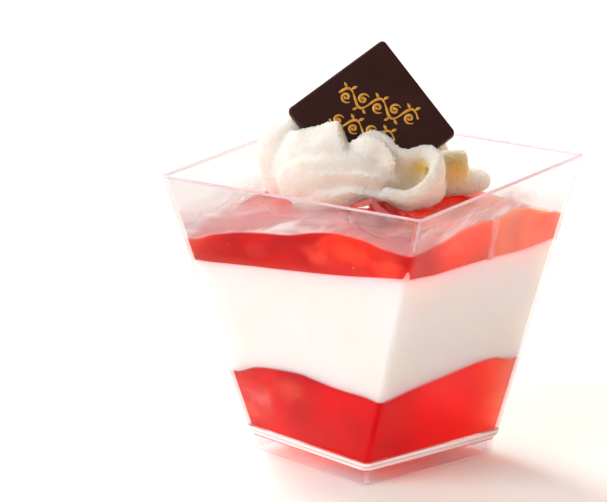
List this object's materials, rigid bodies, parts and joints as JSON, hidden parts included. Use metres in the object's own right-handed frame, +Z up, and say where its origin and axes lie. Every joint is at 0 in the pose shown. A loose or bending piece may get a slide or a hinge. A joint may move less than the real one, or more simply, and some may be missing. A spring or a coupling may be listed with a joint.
{
  "type": "panna cotta dessert",
  "caption": "Layered panna cotta in a clear twisted square cup, with red fruit jelly below and above, a piped rosette of whipped cream and a square of dark chocolate.",
  "frame": {"origin": "centre of the foot's underside, on the surface that the cup stands on", "axes": "+Z up; the four sides of the rim lie along X and Y, and the dressed side of the dessert faces between +X and -Y"},
  "size_m": [0.072, 0.072, 0.0951],
  "materials": {
    "clear_cup": "clear moulded, polished",
    "red_jelly": "wet, translucent",
    "set_cream": "smooth, milky",
    "strawberry": "wet",
    "whipped_cream": "soft, airy",
    "dark_chocolate": "satin"
  },
  "bodies": {
    "root": {"cup": "clear_cup", "jelly_lower": "red_jelly", "panna_cotta": "set_cream", "jelly_upper": "red_jelly", "strawberry_piece": "strawberry", "whipped_cream": "whipped_cream", "chocolate_square": "dark_chocolate"}
  },
  "joints": []
}
